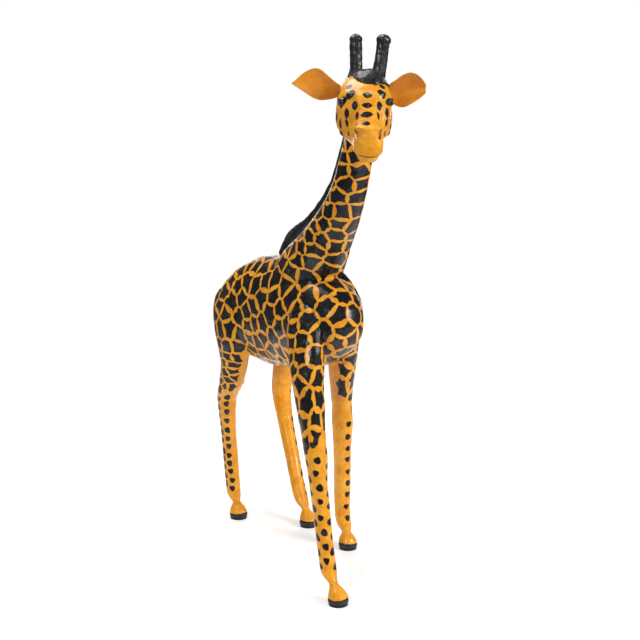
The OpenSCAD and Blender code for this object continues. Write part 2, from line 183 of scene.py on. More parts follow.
def normals_of(verts, faces):
    """A unit normal at each vertex, from triangles or quads."""
    quads = np.array([f if len(f) == 4 else (*f, f[2]) for f in faces])
    across = np.cross(verts[quads[:, 2]] - verts[quads[:, 0]], verts[quads[:, 3]] - verts[quads[:, 1]])
    total = np.zeros_like(verts)
    for k in range(4):
        for axis in range(3):
            total[:, axis] += np.bincount(quads[:, k], across[:, axis], len(verts))
    return total / np.maximum(np.linalg.norm(total, axis=1), 1e-12)[:, None]


def picked(faces, inside):
    """The vertices marked as inside, and the faces that join only those, numbered among them."""
    chosen = np.flatnonzero(inside)
    index = np.full(len(inside), -1)
    index[chosen] = np.arange(len(chosen))
    return chosen, [tuple(index[list(f)]) for f in faces if inside[list(f)].all()]


def store(obj, name, values):
    """Values on an object's vertices, for its material to read."""
    layer = obj.data.attributes.new(name, "FLOAT", "POINT")
    layer.data.foreach_set("value", np.asarray(values, np.float32))


def tree_of(names):
    verts, tris = joined(names)
    return BVHTree.FromPolygons([tuple(v) for v in verts], [tuple(int(i) for i in t) for t in tris])


def distance_to(tree, points, reach):
    """Distance from each point to a surface, no more than reach."""
    found = np.full(len(points), reach)
    for i, p in enumerate(points):
        hit = tree.find_nearest(Vector(p), reach)
        if hit[3] is not None:
            found[i] = hit[3]
    return found


# ---- The leather skin, one even mesh over every core, cut into hides at the end ----------------

PARTS = ("torso", "neck", "head") + tuple(f"{leg}_leg" for leg in LEGS)
SKIN_VOXEL = 2.3 * MM
HIDE = 2.0 * MM
# The hide's thickness as drawn, which leaves its inner side just clear of the core
HIDE_DRAWN = 0.8 * HIDE
# The gap between core and hide, and what the averaging takes off the core
GLUE_GAP = 0.3 * MM
ROUNDING = 0.5 * MM
HOOF_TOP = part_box("front_right_hoof")[1].z
# The hides of the legs reach a little below the top of the hooves, so no core shows between them
SKIN_FOOT = HOOF_TOP - 1.4 * MM
# Averaging rounds that take the facets off the broad torso and off the slimmer parts
TORSO_ROUNDS, LIMB_ROUNDS = 60, 12
SEAM_REACH = 60 * MM
# Skin this near to a part's core is painted as that part
OWN_REACH = 6 * MM
# Depth, in millimetres, of a point that lies well outside a spot or line
OUTSIDE = -6.0


def core_skin():
    """Skin vertices, faces and edges, and for each part the distance of every vertex to its core."""
    fillers = ["neck_dowel", "head_dowel", "hoof_pins"] + [f"{leg}_leg_dowel" for leg in LEGS]
    verts, faces = voxelised(*joined([f"{p}_core" for p in PARTS] + fillers), SKIN_VOXEL)
    edges = edge_list(faces)
    away = {}
    for part in PARTS:
        low, high = (np.array(c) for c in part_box(f"{part}_core"))
        near = np.all((verts > low - SEAM_REACH) & (verts < high + SEAM_REACH), axis=1)
        away[part] = np.full(len(verts), SEAM_REACH)
        away[part][near] = distance_to(tree_of([f"{part}_core"]), verts[near], SEAM_REACH)
    torso_share = spread(smoothstep(0, 10 * MM, np.min([away[p] for p in PARTS[1:]], axis=0)), edges, 20)
    rounds = LIMB_ROUNDS + (TORSO_ROUNDS - LIMB_ROUNDS) * torso_share
    # No averaging at the feet, where it would draw the hide inside the core's bottom edge
    rounds = rounds * smoothstep(HOOF_TOP + 1 * MM, HOOF_TOP + 9 * MM, verts[:, 2])
    verts = spread(verts, edges, rounds)
    smooth = spread(normals_of(verts, faces), edges, 6)
    smooth /= np.linalg.norm(smooth, axis=1)[:, None]
    verts = verts + smooth * (HIDE + GLUE_GAP + ROUNDING)
    verts[:, 2] = np.maximum(verts[:, 2], SKIN_FOOT)
    return verts, faces, edges, away


# ---- The head's own frame: millimetres from the middle of the eyes, left, back and up ----------

def middle_of(node):
    """The middle of a CAD node's box."""
    low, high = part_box(node)
    return np.array((low + high) / 2)


EYES = (middle_of("right_eye") + middle_of("left_eye")) / 2
UP = np.array([0.0, 0.0, 1.0])
LEFT = middle_of("left_eye") - middle_of("right_eye")
LEFT /= np.linalg.norm(LEFT)
BACK = np.cross(UP, LEFT)
HEAD_AXES = np.array([LEFT, BACK, UP])


def to_head(points):
    return (points - EYES) @ HEAD_AXES.T / MM


def from_head(points):
    return EYES + np.asarray(points, float) * MM @ HEAD_AXES


def swell(q, at, size):
    """A soft bump of height 1 round a place in the head's frame."""
    return np.exp(-(((q - np.array(at)) / np.array(size)) ** 2).sum(axis=1))


def off_line(q, start, end):
    """The step to each point from the nearest place on a straight line in the head's frame."""
    a, b = np.array(start, float), np.array(end, float)
    t = np.clip((q - a) @ (b - a) / ((b - a) @ (b - a)), 0, 1)[:, None]
    return q - a - t * (b - a)


def stroke(q, start, end, width):
    """A soft bump of height 1 along a straight line in the head's frame."""
    return np.exp(-((np.linalg.norm(off_line(q, start, end), axis=1) / width) ** 2))


def mouth_height(x):
    """Height of the line between the lips, which curves up a little at both ends."""
    return -106 + 5 * (np.abs(x - 2) / 24) ** 2


def sculpted_head(verts, faces):
    """Brows, eye sockets, nose plate, nostrils, cheeks and mouth pushed into the plain head."""
    q = to_head(verts)
    n = normals_of(verts, faces) @ HEAD_AXES.T
    ahead = smoothstep(-12, -30, q[:, 1])
    rise = np.zeros(len(q))
    for side in (-1, 1):
        # Brow, eye socket and hollow temple
        rise += 5.5 * swell(q, (side * 34, -20, 16), (14, 14, 5.5))
        rise -= 4.5 * swell(q, (side * 41, -12, -2), (9, 14, 9))
        rise -= 4.2 * swell(q, (side * 57, 6, -26), (15, 26, 22))
        # Cheekbone, edge of the jaw and the hollow beside the nose
        rise += 2.6 * stroke(q, (side * 52, 6, -8), (side * 30, -44, -50), 5.0)
        rise += 1.8 * stroke(q, (side * 50, 14, -64), (side * 34, -30, -66), 5.0)
        rise -= 4.0 * swell(q, (side * 30, -46, -34), (8, 18, 17))
        # Side of the upper lip, then the nostril: its wing, its slit and the rim outside it
        rise += 3.0 * swell(q, (side * 24, -84, -80), (11, 16, 16))
        rise += 2.5 * swell(q, (side * 22, -80, -50), (6, 10, 5))
        rise -= 4.6 * stroke(q, (side * 25, -74, -55), (side * 21, -90, -68), 3.0)
        rise += 1.6 * stroke(q, (side * 29, -72, -55), (side * 26, -86, -70), 3.0)
    # The flat plate down the nose, the crest across its lower end and the crease along its middle
    plate_half = np.interp(q[:, 2], [-60, -50, -34, -10, 12, 26], [27, 24, 19, 18, 24, 27])
    plate = smoothstep(2.4, -2.4, np.abs(q[:, 0]) - plate_half) * smoothstep(-58, -54, q[:, 2])
    rise += 4.0 * plate * ahead * smoothstep(26, 8, q[:, 2])
    crest = -53 - 4.5 * bump_at(q[:, 0], 8)
    rise += 3.4 * bump_at(q[:, 2] - crest, 3.6) * smoothstep(28, 22, np.abs(q[:, 0])) * ahead
    crease = bump_at(q[:, 0] + 1.5, 1.2) * smoothstep(-46, -38, q[:, 2]) * smoothstep(30, 20, q[:, 2])
    rise -= 0.7 * crease * ahead
    # The mouth with a lip below and above it
    mouth = mouth_height(q[:, 0])
    front = smoothstep(-66, -74, q[:, 1])
    rise -= 2.6 * bump_at(q[:, 2] - mouth, 2.2) * front
    rise += 2.6 * bump_at(q[:, 2] - mouth + 6, 4.0) * front
    rise += 2.0 * bump_at(q[:, 2] - mouth - 6, 4.5) * front
    rise += 0.5 * noise(verts, 9 * MM, 11) * ahead
    chin_drop = 4.0 * smoothstep(-92, -110, q[:, 2]) * front
    moved = q + n * rise[:, None]
    moved[:, 2] -= chin_drop
    return from_head(moved)


def face_plan():
    """The painted spots of the head: place, half width, half height and lean in degrees."""
    plan = []
    # Down the middle of the nose, widest at the third
    for k, (half_w, half_h) in enumerate(((9, 7.5), (9.5, 5.5), (12, 6), (7.5, 5))):
        plan.append(((2 - 2.5 * k, -29 - 15.5 * k, 13 - 18.5 * k), half_w + 0.5, half_h + 1.3, 0))
    for side in (-1, 1):
        plan.append(((side * 30, -18, 16), 10, 10, 0))
        plan.append(((side * 35, 2, 33), 8, 6.5, 0))
        # The black paint round the eye, drawn out at both corners
        plan.append(((side * 45, -4, 1), 13, 7.5, -side * 14))
        # Evenly spaced rows, leaning with the nose: two down its side, the spots of each getting smaller,
        # and one on the cheek
        for first, last, count, half_w, half_h in (((25, -38, -6), (20, -66, -46), 3, 6.6, 10.5),
                                                   ((41, -31, -20), (34, -32, -61), 3, 7.2, 10.5),
                                                   ((54, 0, -43), (50, 2, -68), 2, 8.0, 11.0)):
            for k in range(count):
                place = np.array(first) + (np.array(last) - first) * k / (count - 1)
                shrink = 1 - 0.11 * k * (count - 1)
                plan.append((place * (side, 1, 1), half_w * shrink, half_h * shrink, side * 16))
        # Rows round the temple and the back of the head
        for row, z in enumerate((22, -4, -32, -56)):
            for column in range(4 - row // 2):
                turn = math.radians(8 + 30 * column + 13 * (row % 2))
                plan.append(((side * 62 * math.cos(turn), 18 + 76 * math.sin(turn), z), 8.5, 9.5, 8 * row))
    plan.append(((-1, 94, 4), 10, 9, 0))
    return plan


def face_spots(verts, faces):
    """How far each point of the head lies inside a painted spot, in millimetres."""
    q = to_head(verts)
    n = normals_of(verts, faces) @ HEAD_AXES.T
    rough = q + 0.7 * np.stack([noise(verts, 5 * MM, seed) for seed in (21, 22, 23)], 1)
    inside = np.full(len(q), OUTSIDE)
    for place, half_w, half_h, lean in face_plan():
        nearest = np.argmin(((q - np.array(place)) ** 2).sum(axis=1))
        across = np.cross(n[nearest], (0, 0, 1))
        across /= np.linalg.norm(across)
        upward = np.cross(across, n[nearest])
        gap = rough - q[nearest]
        c, s = math.cos(math.radians(lean)), math.sin(math.radians(lean))
        u, v = gap @ across, gap @ upward
        u, v = (c * u + s * v) / half_w, (c * v - s * u) / half_h
        # Rounded lozenges, between an ellipse and a diamond
        size = (np.abs(u) ** 1.6 + np.abs(v) ** 1.6) ** (1 / 1.6)
        ahead = np.abs(gap @ n[nearest]) < 18
        inside = np.maximum(inside, np.where(ahead, (1 - size) * min(half_w, half_h), OUTSIDE))
    return inside


def face_lines(verts):
    """How far each point of the head lies inside a dark painted line: nostrils and mouth."""
    q = to_head(verts)
    depth = np.full(len(q), OUTSIDE)
    for side in (-1, 1):
        # Measured short backwards and upwards, so the dark paint is longer those ways
        away = off_line(q, (side * 25, -74, -54), (side * 21.5, -90, -68)) * np.array([1, 0.5, 0.8])
        depth = np.maximum(depth, 3.0 - np.linalg.norm(away, axis=1))
    at_lips = (q[:, 1] < -64) & (np.abs(q[:, 0] - 2) < 22)
    lips = np.where(at_lips, 1.3 - np.abs(q[:, 2] - mouth_height(q[:, 0])), OUTSIDE)
    return np.maximum(depth, lips)


# ---- The painted pattern ------------------------------------------------------------------------

NECK_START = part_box("torso_core")[1].z - 20 * MM
NECK_STRETCH = 0.4
LEG_START = 0.47
# Share by which heights count towards a patch on the front legs, and what the hind legs add to it
FRONT_SQUEEZE, HIND_MORE = 0.62, 0.88
# Room between the middles of patches, in millimetres, at these heights in metres
ROOM_HEIGHTS = (0.30, 0.40, 0.50, 0.60, 0.76)
PATCH_ROOM = (22, 26, 35, 39, 42)
# Half the width of the orange lines, in millimetres: at their corners, and what each may have more between
LINE_AT_CORNER, LINE_LEAST_MORE, LINE_SPREAD = 3.5, 1.0, 2.8
# Height of the lowest spots of the legs
SPOTS_FROM = 0.075
# For each leg: height where patches give way to spots, spot spacing, angles of the spot columns and
# the angle past which the inner side stays plain, all turning outwards from straight ahead
LEG_PAINT = {
    "front_right": (0.335, 31, (-31, 29, 89, 149), -80),
    "front_left": (0.350, 31, (5, 65, 125), -28),
    "hind_right": (0.350, 23, (29, 89, 149), -12),
    "hind_left": (0.400, 25, (46, 96, 146), 18),
}


def stretched(points):
    """Space pulled out of shape, so patches are broad on the neck and hind legs, tall on the front legs."""
    out = points.copy()
    legs = FRONT_SQUEEZE + HIND_MORE * smoothstep(-0.02, 0.12, points[:, 1])
    out[:, 2] += NECK_STRETCH * np.maximum(0, points[:, 2] - NECK_START)
    out[:, 2] -= (legs - 1) * np.maximum(0, LEG_START - points[:, 2])
    return out


class LegAxis:
    """Middle line of a leg, with the angle and the radius of points round it."""

    def __init__(self, leg, verts, own):
        self.outward = -1.0 if leg.endswith("right") else 1.0
        heights = np.arange(0.02, 0.60, 0.02)
        z = verts[own][:, 2]
        rows = [verts[own][np.abs(z - h) < 0.012] for h in heights]
        self.heights = heights
        self.middles = np.array([(r.min(axis=0) + r.max(axis=0))[:2] / 2 for r in rows])

    def around(self, points):
        x = np.interp(points[:, 2], self.heights, self.middles[:, 0])
        y = np.interp(points[:, 2], self.heights, self.middles[:, 1])
        out, ahead = (points[:, 0] - x) * self.outward, y - points[:, 1]
        return np.degrees(np.arctan2(out, ahead)), np.hypot(out, ahead)


def patch_seeds(verts, part_of, angles):
    """Middles of the patches, spread over the skin, and which of them are painted."""
    rng = np.random.default_rng(7)
    order = rng.permutation(len(verts))[:60000]
    w = stretched(verts)
    gap = np.interp(verts[:, 2], ROOM_HEIGHTS, PATCH_ROOM) * MM
    shy = rng.random(len(verts))
    seed_index = []
    seeds = np.empty((0, 3))
    for i in order:
        room = gap[i] * (0.82 + 0.36 * shy[i])
        if len(seeds) == 0 or ((seeds - w[i]) ** 2).sum(axis=1).min() > room ** 2:
            seed_index.append(i)
            seeds = w[seed_index]
    painted = np.ones(len(seeds), bool)
    for k, i in enumerate(seed_index):
        part = PARTS[part_of[i]]
        if part.endswith("_leg"):
            end, _, _, plain = LEG_PAINT[part[:-4]]
            angle = angles[part][i]
            low = verts[i, 2] < end
            inner = verts[i, 2] < 0.50 and (angle < plain or angle > 172)
            painted[k] = not (low or inner)
        if part == "head":
            painted[k] = False
    return seeds, painted


def patches(verts, seeds, painted):
    """Millimetres that each point lies inside a black patch, a cell with hollow sides and sharp corners."""
    # The cells' sides wander, in broad waves and in fine ones
    rough = [noise(verts, 24 * MM, s) * 5.0 + noise(verts, 7 * MM, s + 5) for s in (31, 32, 33)]
    w = stretched(verts + np.stack(rough, 1) * MM)
    tree = KDTree(len(seeds))
    for i, s in enumerate(seeds):
        tree.insert(s, i)
    tree.balance()
    near = np.array([[hit[1] for hit in tree.find_n(p, 9)] for p in w])
    own = seeds[near[:, 0]]
    to_edge, width = [], []
    to_painted = np.full(len(verts), 1.0)
    for k in range(1, near.shape[1]):
        other = seeds[near[:, k]]
        along = other - own
        along /= np.linalg.norm(along, axis=1)[:, None]
        reach = -((w - (own + other) / 2) * along).sum(axis=1)
        # Both sides of a line name it alike, so it gets one width
        low, high = np.sort(near[:, (0, k)], axis=1).T
        pair = np.stack([low, high, np.zeros_like(low)], 1)
        to_edge.append(reach)
        width.append((LINE_LEAST_MORE + LINE_SPREAD * lattice(pair, 3)) * MM)
        to_painted = np.minimum(to_painted, np.where(painted[near[:, k]], reach, 1.0))
    to_edge, width = np.array(to_edge), np.array(width)
    order = np.argsort(to_edge, axis=0)
    row = np.arange(len(verts))
    first, second = to_edge[order[0], row], to_edge[order[1], row]
    # A line is thin at its corners, where two edges are equally near, and wide between them
    line = (LINE_AT_CORNER + noise(verts, 30 * MM, 35)) * MM
    line += width[order[0], row] * smoothstep(0, 9 * MM, second - first)
    inside = first - line
    plain = ~painted[near[:, 0]]
    return np.clip(np.where(plain, -3 * MM - to_painted, inside) / MM, OUTSIDE, 12)


def leg_spots(verts, leg, axis):
    """How far each point lies inside one of the spots of a lower leg, in millimetres."""
    end, step, columns, _ = LEG_PAINT[leg]
    angle, radius = axis.around(verts)
    inside = np.full(len(verts), OUTSIDE)
    wobble = noise(verts, 5 * MM, 41) * 0.8
    rows = int((end + 0.03 - SPOTS_FROM) / (step * MM))
    for c, column in enumerate(columns):
        for r in range(rows):
            jitter = lattice(np.array([[c, r, k + len(leg)] for k in (0, 40, 80)]), 9) - 0.5
            height = SPOTS_FROM + (r + 0.5 * (c % 2)) * step * MM + 7 * MM * jitter[0]
            if height > end + 0.012:
                continue
            turn = (angle - column - 16 * jitter[1] + 180) % 360 - 180
            u = np.radians(turn) * radius / MM
            v = (verts[:, 2] - height) / MM
            size = 7.2 + 2.0 * jitter[2]
            facing = np.arctan2(v, u)
            lobes = 1 + 0.10 * np.cos(3 * facing + 2.2 + 5 * jitter[2])
            inside = np.maximum(inside, size + wobble - np.hypot(u, v) * lobes)
    return inside


def painted_skin(verts, faces, away):
    """For each skin vertex, millimetres inside a black patch and inside a dark line."""
    nearest = np.argmin([away[p] for p in PARTS], axis=0)
    angles, axes = {}, {}
    for leg in LEGS:
        own = away[f"{leg}_leg"] < OWN_REACH
        axes[leg] = LegAxis(leg, verts, own)
        angles[f"{leg}_leg"] = axes[leg].around(verts)[0]
    seeds, painted = patch_seeds(verts, nearest, angles)
    patch = patches(verts, seeds, painted)
    for leg in LEGS:
        own = np.flatnonzero((away[f"{leg}_leg"] < OWN_REACH) & (verts[:, 2] < 0.46))
        patch[own] = np.maximum(patch[own], leg_spots(verts[own], leg, axes[leg]))
        # The hooves' black paint runs a little way up the ball, further at one side
        slant = np.cos(np.radians(axes[leg].around(verts[own])[0] + 70))
        paint = HOOF_TOP / MM + 2.0 + 1.8 * slant + 0.7 * noise(verts[own], 9 * MM, 44) - verts[own, 2] / MM
        patch[own] = np.maximum(patch[own], paint)
    head, head_faces = picked(faces, away["head"] < OWN_REACH)
    patch[head] = np.maximum(patch[head], face_spots(verts[head], head_faces))
    ink = np.full(len(verts), OUTSIDE)
    ink[head] = face_lines(verts[head])
    return nearest, patch, ink


def seams(verts, away):
    """Depth of the folds where a leg's hide meets the torso's."""
    depth = np.zeros(len(verts))
    for leg in LEGS:
        apart = (away["torso"] - away[f"{leg}_leg"]) / MM
        crease = bump_at(apart, 1.6) - 0.45 * bump_at(np.abs(apart) - 4.5, 2.2)
        depth += crease * smoothstep(24, 12, (away["torso"] + away[f"{leg}_leg"]) / MM)
    return depth


def hide_piece(part, verts, normals, own_faces, attributes, slot="patterned_leather"):
    """One hide: the skin over a part, a copy of it a hide's thickness inside, and the rim between them."""
    chosen = np.unique([i for f in own_faces for i in f])
    index = {int(i): k for k, i in enumerate(chosen)}
    count = len(chosen)
    outer = [tuple(index[i] for i in f) for f in own_faces]
    inner = [tuple(k + count for k in reversed(f)) for f in outer]
    once = {}
    for f in outer:
        for a, b in zip(f, f[1:] + f[:1]):
            if (b, a) in once:
                del once[(b, a)]
            else:
                once[(a, b)] = True
    rim = [(b, a, a + count, b + count) for a, b in once]
    out = verts[chosen]
    n = normals[chosen]
    obj = new_object(f"{part}_hide_skin", np.concatenate([out, out - n * HIDE_DRAWN]), outer + inner + rim)
    for name, values in attributes.items():
        store(obj, name, np.concatenate([values[chosen]] * 2))
    obj.data.normals_split_custom_set_from_vertices([tuple(v) for v in np.concatenate([n, -n])])
    dress(obj, slot)
    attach(obj, BODY)
    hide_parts(f"{part}_hide")


# ---- Horns, cap, eyes, hooves, ears, mane and tail ----------------------------------------------

def tube(points, radii, sides=14):
    """Vertices and faces of a closed tube along points, one radius for each."""
    points = np.asarray(points, float)
    radii = np.broadcast_to(radii, len(points))
    ahead = np.gradient(points, axis=0)
    ahead /= np.linalg.norm(ahead, axis=1)[:, None]
    side = np.cross(ahead[0], (0.31, 0.17, 0.94) if abs(ahead[0][2]) < 0.9 else (1, 0, 0))
    turns = np.linspace(0, 2 * math.pi, sides, endpoint=False)
    verts, faces = [], []
    for p, t, r in zip(points, ahead, radii):
        side = side - t * (side @ t)
        side /= np.linalg.norm(side)
        other = np.cross(t, side)
        verts.extend(p + r * (math.cos(a) * side + math.sin(a) * other) for a in turns)
    for k in range(len(points) - 1):
        for j in range(sides):
            a, b = k * sides + j, k * sides + (j + 1) % sides
            faces.append((a, b, b + sides, a + sides))
    first, last = len(verts), len(verts) + 1
    verts.extend((points[0], points[-1]))
    top = (len(points) - 1) * sides
    for j in range(sides):
        faces.append((first, (j + 1) % sides, j))
        faces.append((last, top + j, top + (j + 1) % sides))
    return np.array(verts), faces


def triangles(faces):
    """Faces of any number of corners as triangles."""
    out = []
    for f in faces:
        out.extend((f[0], f[k], f[k + 1]) for k in range(1, len(f) - 1))
    return np.array(out)


def together(shapes):
    """Several (vertices, faces) as one."""
    verts, faces, start = [], [], 0
    for v, f in shapes:
        verts.append(v)
        faces.extend(tuple(int(i) + start for i in face) for face in f)
        start += len(v)
    return np.concatenate(verts), faces


def evened(verts, faces, voxel, rounds):
    """One even, averaged mesh round a shape, with its edges."""
    verts, faces = voxelised(verts, triangles(faces), voxel)
    edges = edge_list(faces)
    return spread(verts, edges, rounds), faces, edges


def slices_of(node_name, count, voxel=2 * MM):
    """Middle and half width of a node's cross-sections, from its bottom to its top."""
    verts, _ = voxelised(*joined([node_name]), voxel)
    low, high = verts[:, 2].min(), verts[:, 2].max()
    heights = np.linspace(low, high, count)
    reach = max((high - low) / count, 1.5 * voxel)
    rows = [verts[np.abs(verts[:, 2] - h) < reach] for h in heights]
    middles = np.array([(r.min(axis=0) + r.max(axis=0)) / 2 for r in rows])
    middles[:, 2] = heights
    widths = np.array([(r.max(axis=0) - r.min(axis=0))[:2].mean() / 2 for r in rows])
    return middles, widths


def placed(name, verts, faces, slot, *replaced, attributes=None):
    """A finished piece: dressed, riding on the body and standing for CAD nodes."""
    obj = new_object(name, verts, faces)
    for key, values in (attributes or {}).items():
        store(obj, key, values)
    dress(obj, slot)
    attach(obj, BODY)
    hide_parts(*replaced)


def head_core():
    """The carved core follows the same carving as the hide over it."""
    verts, faces, _ = evened(*joined(["head_core"]), 3 * MM, LIMB_ROUNDS)
    carved = sculpted_head(verts, faces) - normals_of(verts, faces) * 0.6 * MM
    placed("head_core_carved", carved, faces, "core_wood", "head_core")


def horn_line(side):
    """Foot, direction, radius and length of a horn, along its dowel."""
    middles, widths = slices_of(f"{side}_horn_wrap", 14, 1.5 * MM)
    shaft, _ = slices_of(f"{side}_horn_dowel", 8, 1.5 * MM)
    along = (shaft[-2] - shaft[1]) / np.linalg.norm(shaft[-2] - shaft[1])
    base = shaft[1] + along * (middles[0, 2] - shaft[1, 2]) / along[2]
    return base, along, np.median(widths[3:10]), (middles[-1, 2] - middles[0, 2]) / along[2]


def horns():
    """Leather wrapped round each horn, flared at its foot, with a puckered knob at its top."""
    # lean is how far the foot bends over and thickens, knob how far the top swells
    for side, lean, knob in (("right", 0.0, 0.08), ("left", 1.0, 0.20)):
        base, along, radius, length = horn_line(side)
        t = np.linspace(-0.10, 1.0, 60)
        path = base + np.outer(t * length, along)
        bend = from_head((1, 0, 0)) - EYES
        path -= np.outer(3.0 * lean * (1 - t) ** 2, bend)
        r = radius * (1.0 + knob * bump_at(t - 0.90, 0.10)) + 2.6 * lean * (1 - t) ** 2 * MM
        r += 6.5 * MM * np.exp(-np.maximum(t, -0.05) / 0.08)
        end = (1.0 - t) * length
        r *= np.sqrt(np.clip(1 - (1 - np.minimum(end / (11 * MM), 1)) ** 2, 0.01, 1))
        verts, faces, _ = evened(*tube(path, r, 24), 1.2 * MM, 3)
        n = normals_of(verts, faces)
        local = verts - base
        up = local @ along / length
        flat = local - np.outer(local @ along, along)
        turn = np.arctan2(flat @ np.cross(along, bend / MM), flat @ (bend / MM))
        wrapped = np.stack([np.cos(turn) * 2.2, np.sin(turn) * 2.2, up * 3.0], 1)
        folds = noise(wrapped, 1.0, 71 + int(lean * 10))
        rise = 0.9 * folds + 0.5 * noise(verts, 7 * MM, 73) + 0.25 * noise(verts, 3.5 * MM, 74) + 0.4
        rise -= 0.7 * bump_at(up - 0.82, 0.03)
        rise += 0.5 * np.cos(9 * turn + 4 * folds) * smoothstep(0.93, 1.0, up)
        leather = verts + n * rise[:, None] * MM
        placed(f"{side}_horn_leather", leather, faces, "black_leather", f"{side}_horn_wrap")


def cap():
    """The glossy lumpy leather cap over the forehead, drawn up round the feet of both horns."""
    shapes = [joined(["crown_cap"])]
    for side in ("right", "left"):
        base, along, radius, _ = horn_line(side)
        t = np.linspace(-14, 24, 12)
        collar = radius + np.interp(t, [-14, 0, 24], [12, 6.5, -2.5]) * MM
        shapes.append(tube(base + np.outer(t * MM, along), collar, 24))
    verts, faces, _ = evened(*together(shapes), 1.4 * MM, 14)
    q = to_head(verts)
    n = normals_of(verts, faces)
    aside = np.abs(q[:, 0] - 1)
    # The cap ends at this height, which rises to both sides; under it, it sinks into the hide
    margin = 28.5 + 0.013 * aside ** 2 + 0.3 * np.maximum(0, aside - 29) ** 2
    rise = -5.5 * smoothstep(1.5, -3, q[:, 2] - margin) - 1.6 * stroke(q, (14, -18, 32), (17, 0, 62), 2.0)
    rise += 0.9 + 1.3 * noise(verts, 14 * MM, 81) + 0.5 * noise(verts, 6 * MM, 82)
    placed("crown_cap_leather", verts + n * rise[:, None] * MM, faces, "black_leather", "crown_cap")


def eyes():
    """An upper and a lower lid of rolled leather round each glass eye."""
    for side, name in ((-1, "right"), (1, "left")):
        middle = to_head(middle_of(f"{name}_eye")[None])[0]
        low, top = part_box(f"{name}_eye")
        radius = (top.z - low.z) / 2 / MM
        out = np.array([side * 0.80, -0.60, 0.02])
        out /= np.linalg.norm(out)
        inward = np.cross(out, (0, 0, 1)) * side
        inward /= np.linalg.norm(inward)
        high = np.cross(inward, out) * side
        high = high if high[2] > 0 else -high
        shapes = []
        # Upper lid, lower lid: how far they arch, how thick they are, how far the outer corner is drawn out
        for arch, thick, drawn in ((6.0, 2.8, 10.0), (-5.4, 1.7, 3.0)):
            t = np.linspace(-1, 1, 40)
            across = -t * (radius + 1.0)
            rise = arch * (1 - t ** 2) ** 0.8 - 1.6 * t
            depth = np.sqrt(np.clip((radius + 0.6) ** 2 - across ** 2 * 0.80 - rise ** 2, 4.0, None))
            line = middle + np.outer(across, -inward) + np.outer(rise, high) + np.outer(depth, out)
            tail = np.outer(np.linspace(0.1, 1, 12), np.array([side * 0.35, 0.9, 0.35]) * drawn)
            path = np.concatenate([line, line[-1] + tail])
            fullness = 0.45 + 0.55 * np.sqrt(np.clip(1 - t ** 2, 0, 1))
            r = thick * np.concatenate([fullness, np.linspace(0.45, 0.1, 12)])
            shapes.append(tube(from_head(path), r * MM, 10))
        verts, faces = together(shapes)
        placed(f"{name}_eyelids", verts, faces, "black_leather", f"{name}_eyelid")


def hooves():
    """Black painted hooves with rounded edges, drawn in at the top to meet the leather of the ball."""
    for leg in LEGS:
        low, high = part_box(f"{leg}_hoof")
        verts, faces, _ = evened(*joined([f"{leg}_hoof"]), 1.3 * MM, 10)
        middle = middle_of(f"{leg}_hoof")
        # The averaging flattens the hoof, so it is drawn up again, to end just inside the leg's hide
        level = (verts[:, 2] - verts[:, 2].min()) / np.ptp(verts[:, 2])
        verts[:, 2] = low.z + level * (high.z + 1.2 * MM - low.z)
        size = 0.955 + 0.02 * (1 - (2 * level - 0.9) ** 2) + 0.010 * noise(verts, 11 * MM, 97)
        verts[:, :2] = middle[:2] + (verts[:, :2] - middle[:2]) * size[:, None]
        placed(f"{leg}_hoof_painted", verts, faces, "hoof_paint", f"{leg}_hoof")


def ears():
    """Each ear is one stiff sheet of leather with a dark cut edge."""
    for side in ("right", "left"):
        verts, faces, edges = evened(*joined([f"{side}_ear"]), 1.1 * MM, 40)
        n = normals_of(verts, faces)
        verts = verts + n * (0.60 + 0.35 * noise(verts, 22 * MM, 85))[:, None] * MM
        # The cut edge is where a line through the leaf leaves it late or not at all
        tree = BVHTree.FromPolygons([tuple(v) for v in verts], faces)
        across = [tree.ray_cast(Vector(p - 0.2 * MM * m), Vector(-m), 0.02)[3] for p, m in zip(verts, n)]
        thick = np.array([d or 0.02 for d in across])
        rim = spread((thick > 2.2 * np.median(thick)).astype(float), edges, 1)
        placed(f"{side}_ear_leaf", verts, faces, "ear_leather", f"{side}_ear", attributes={"rim": rim})


def mane():
    """The mane's long strands, twisted together, over a thick rounded lower end."""
    middles, _ = slices_of("mane", 24, 2.5 * MM)
    verts, faces, _ = evened(*joined(["mane"]), 1.8 * MM, 10)
    x = np.interp(verts[:, 2], middles[:, 2], middles[:, 0])
    y = np.interp(verts[:, 2], middles[:, 2], middles[:, 1])
    along = (verts[:, 2] - middles[0, 2]) / (middles[-1, 2] - middles[0, 2])
    turn = np.arctan2(verts[:, 0] - x, verts[:, 1] - y)
    wander = noise(np.stack([turn * 0.4, along * 5, along * 0], 1), 1.0, 91)
    strands = np.abs(np.sin(9 * turn + 2.5 * wander + 5 * along))
    n = normals_of(verts, faces)
    rise = 2.6 * strands - 1.7 + 0.8 * noise(verts, 16 * MM, 92)
    placed("mane_strands", verts + n * rise[:, None] * MM, faces, "black_leather", "mane")


